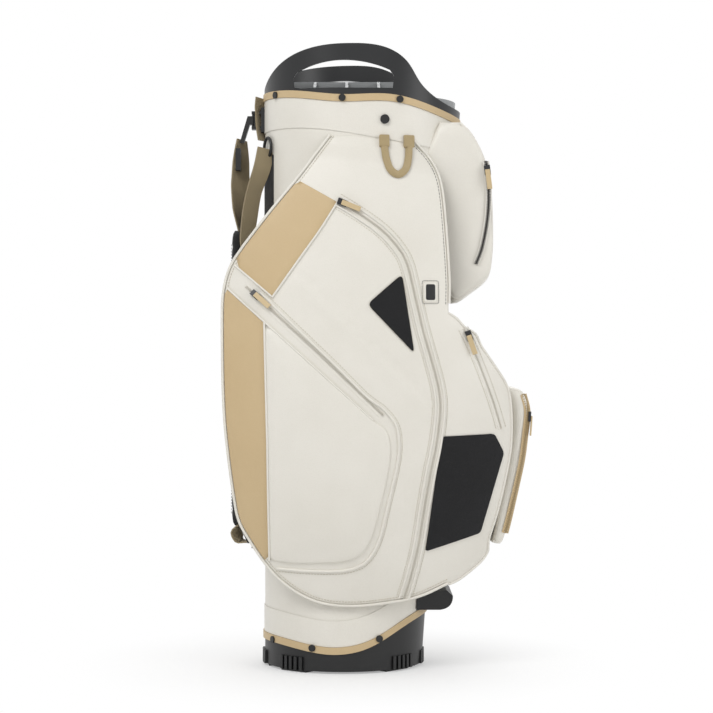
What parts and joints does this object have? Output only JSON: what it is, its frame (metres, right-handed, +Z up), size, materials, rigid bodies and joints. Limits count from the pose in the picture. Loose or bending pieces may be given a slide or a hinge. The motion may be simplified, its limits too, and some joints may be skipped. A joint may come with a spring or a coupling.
{
  "type": "golf cart bag",
  "caption": "Free-standing golf bag with a divided top, moulded cuff and base, zipped side, front and ball pockets, and a padded shoulder strap.",
  "frame": {"origin": "on the floor, on the axis of the tube's back arc, at the middle of the base", "axes": "+Z up along the bag, +X to the ball pocket, -X the spine with the shoulder strap, -Y the near side with the towel loop"},
  "size_m": [0.4419, 0.339, 0.886],
  "materials": {
    "coated_fabric": "warm off-white coated fabric",
    "tan_fabric": "tan faux leather with a fine grain",
    "webbing": "khaki woven webbing",
    "black_plastic": "black moulded plastic, satin",
    "divider_plastic": "light grey moulded plastic",
    "black_felt": "black hook-and-loop felt",
    "black_fabric": "black woven fabric",
    "pad_fabric": "black padded mesh fabric",
    "zip_coil": "tan moulded zip coil on its tape",
    "dark_metal": "black coated metal",
    "tan_pull": "beige moulded pull",
    "alloy": "drawn aluminium rod"
  },
  "bodies": {
    "bag": {"ball_pocket": "coated_fabric", "ball_zip": "zip_coil", "base_band": "coated_fabric", "base_cup": "black_plastic", "base_feet": "black_plastic", "base_trim": "tan_fabric", "button_screws": "black_plastic", "cuff_band": "coated_fabric", "cuff_trim": "tan_fabric", "divider_panels": "black_fabric", "divider_ribs": "divider_plastic", "divider_rim": "divider_plastic", "felt_triangle": "black_felt", "front_pouch": "coated_fabric", "front_shelf": "black_plastic", "garment_pocket_far": "coated_fabric", "garment_pocket_near": "coated_fabric", "garment_zip_far": "zip_coil", "garment_zip_near": "zip_coil", "grab_ring": "black_plastic", "grab_strap": "webbing", "loop_panel": "black_felt", "pouch_zip_far": "zip_coil", "pouch_zip_near": "zip_coil", "side_pocket_far": "coated_fabric", "side_pocket_near": "coated_fabric", "side_zip_far": "zip_coil", "side_zip_near": "zip_coil", "spine_panel": "black_fabric", "stay_rods": "alloy", "strap_anchor_bottom": "black_plastic", "strap_anchor_top": "black_plastic", "top_cuff": "black_plastic", "towel_tabs": "webbing", "trim_rivets": "black_plastic", "tube_sleeve": "coated_fabric", "upper_pocket": "coated_fabric", "upper_zip": "zip_coil"},
    "garment_slider_near": {"garment_slider_near": "dark_metal"},
    "garment_pull_near": {"garment_pull_near": "tan_pull"},
    "garment_slider_far": {"garment_slider_far": "dark_metal"},
    "garment_pull_far": {"garment_pull_far": "tan_pull"},
    "side_slider_near": {"side_slider_near": "dark_metal"},
    "side_pull_near": {"side_pull_near": "tan_pull"},
    "side_slider_far": {"side_slider_far": "dark_metal"},
    "side_pull_far": {"side_pull_far": "tan_pull"},
    "pouch_slider_near": {"pouch_slider_near": "dark_metal"},
    "pouch_pull_near": {"pouch_pull_near": "tan_pull"},
    "pouch_slider_far": {"pouch_slider_far": "dark_metal"},
    "pouch_pull_far": {"pouch_pull_far": "tan_pull"},
    "upper_slider": {"upper_slider": "dark_metal"},
    "upper_pull": {"upper_pull": "tan_pull"},
    "ball_slider": {"ball_slider": "dark_metal"},
    "ball_pull": {"ball_pull": "tan_pull"},
    "shoulder_strap": {"strap_hook": "black_plastic", "strap_webbing": "webbing", "strap_adjuster": "black_plastic", "shoulder_pad": "pad_fabric", "strap_tail": "black_plastic"},
    "towel_loop": {"towel_loop": "webbing"}
  },
  "joints": [
    {"name": "garment_slider_near_travel", "type": "hinge", "parent": "bag", "child": "garment_slider_near", "pos_m": [-0.05975, -0.14431, 0.50703], "axis": [0.0583, 0.9981, -0.0213], "range_deg": [0, 60.82]},
    {"name": "garment_pull_near_swing", "type": "hinge", "parent": "garment_slider_near", "child": "garment_pull_near", "pos_m": [0.00161, -0.15185, 0.65967], "axis": [-0.3755, 0.0021, -0.9268], "range_deg": [0, 100]},
    {"name": "garment_slider_far_travel", "type": "hinge", "parent": "bag", "child": "garment_slider_far", "pos_m": [-0.05975, 0.14431, 0.50703], "axis": [-0.0583, 0.9981, 0.0213], "range_deg": [0, 60.82]},
    {"name": "garment_pull_far_swing", "type": "hinge", "parent": "garment_slider_far", "child": "garment_pull_far", "pos_m": [0.00161, 0.15185, 0.65967], "axis": [0.3755, 0.0021, 0.9268], "range_deg": [0, 100]},
    {"name": "side_slider_near_travel", "type": "hinge", "parent": "bag", "child": "side_slider_near", "pos_m": [-0.05557, 0.53926, 0.35238], "axis": [0.6845, 0.1241, 0.7184], "range_deg": [0, 18.1]},
    {"name": "side_pull_near_swing", "type": "hinge", "parent": "side_slider_near", "child": "side_pull_near", "pos_m": [-0.11908, -0.15191, 0.53227], "axis": [-0.6845, -0.1241, -0.7184], "range_deg": [0, 100]},
    {"name": "side_slider_far_travel", "type": "hinge", "parent": "bag", "child": "side_slider_far", "pos_m": [-0.05557, -0.53926, 0.35238], "axis": [-0.6845, 0.1241, -0.7184], "range_deg": [0, 18.1]},
    {"name": "side_pull_far_swing", "type": "hinge", "parent": "side_slider_far", "child": "side_pull_far", "pos_m": [-0.11908, 0.15191, 0.53227], "axis": [0.6845, -0.1241, 0.7184], "range_deg": [0, 100]},
    {"name": "pouch_slider_near_travel", "type": "hinge", "parent": "bag", "child": "pouch_slider_near", "pos_m": [0.24018, 0.6115, 0.5621], "axis": [0.941, -0.1151, 0.3183], "range_deg": [0, 9.61]},
    {"name": "pouch_pull_near_swing", "type": "hinge", "parent": "pouch_slider_near", "child": "pouch_pull_near", "pos_m": [0.1773, -0.14446, 0.47458], "axis": [-0.941, 0.1151, -0.3183], "range_deg": [0, 100]},
    {"name": "pouch_slider_far_travel", "type": "hinge", "parent": "bag", "child": "pouch_slider_far", "pos_m": [0.24018, -0.6115, 0.5621], "axis": [-0.941, -0.1151, -0.3183], "range_deg": [0, 9.61]},
    {"name": "pouch_pull_far_swing", "type": "hinge", "parent": "pouch_slider_far", "child": "pouch_pull_far", "pos_m": [0.1773, 0.14446, 0.47458], "axis": [0.941, 0.1151, 0.3183], "range_deg": [0, 100]},
    {"name": "upper_slider_travel", "type": "hinge", "parent": "bag", "child": "upper_slider", "pos_m": [-0.06875, -0.092, 0.67431], "axis": [0, 1, 0], "range_deg": [0, 21.13]},
    {"name": "upper_pull_swing", "type": "hinge", "parent": "upper_slider", "child": "upper_pull", "pos_m": [0.20597, -0.0992, 0.70907], "axis": [-0.9921, 0, -0.1255], "range_deg": [0, 100]},
    {"name": "ball_slider_travel", "type": "hinge", "parent": "bag", "child": "ball_slider", "pos_m": [-0.44199, -0.077, 0.4114], "axis": [0, 1, 0], "range_deg": [0, 11.28]},
    {"name": "ball_pull_swing", "type": "hinge", "parent": "ball_slider", "child": "ball_pull", "pos_m": [0.27022, -0.077, 0.3605], "axis": [0, -1, 0], "range_deg": [0, 100]},
    {"name": "shoulder_strap_swing", "type": "hinge", "parent": "bag", "child": "shoulder_strap", "pos_m": [-0.125, 0, 0.79], "axis": [0, 0, 1], "range_deg": [-25, 25]},
    {"name": "towel_loop_swing", "type": "hinge", "parent": "bag", "child": "towel_loop", "pos_m": [0.07687, -0.12278, 0.74188], "axis": [-0.9883, -0.1468, 0.0401], "range_deg": [0, 75]}
  ]
}
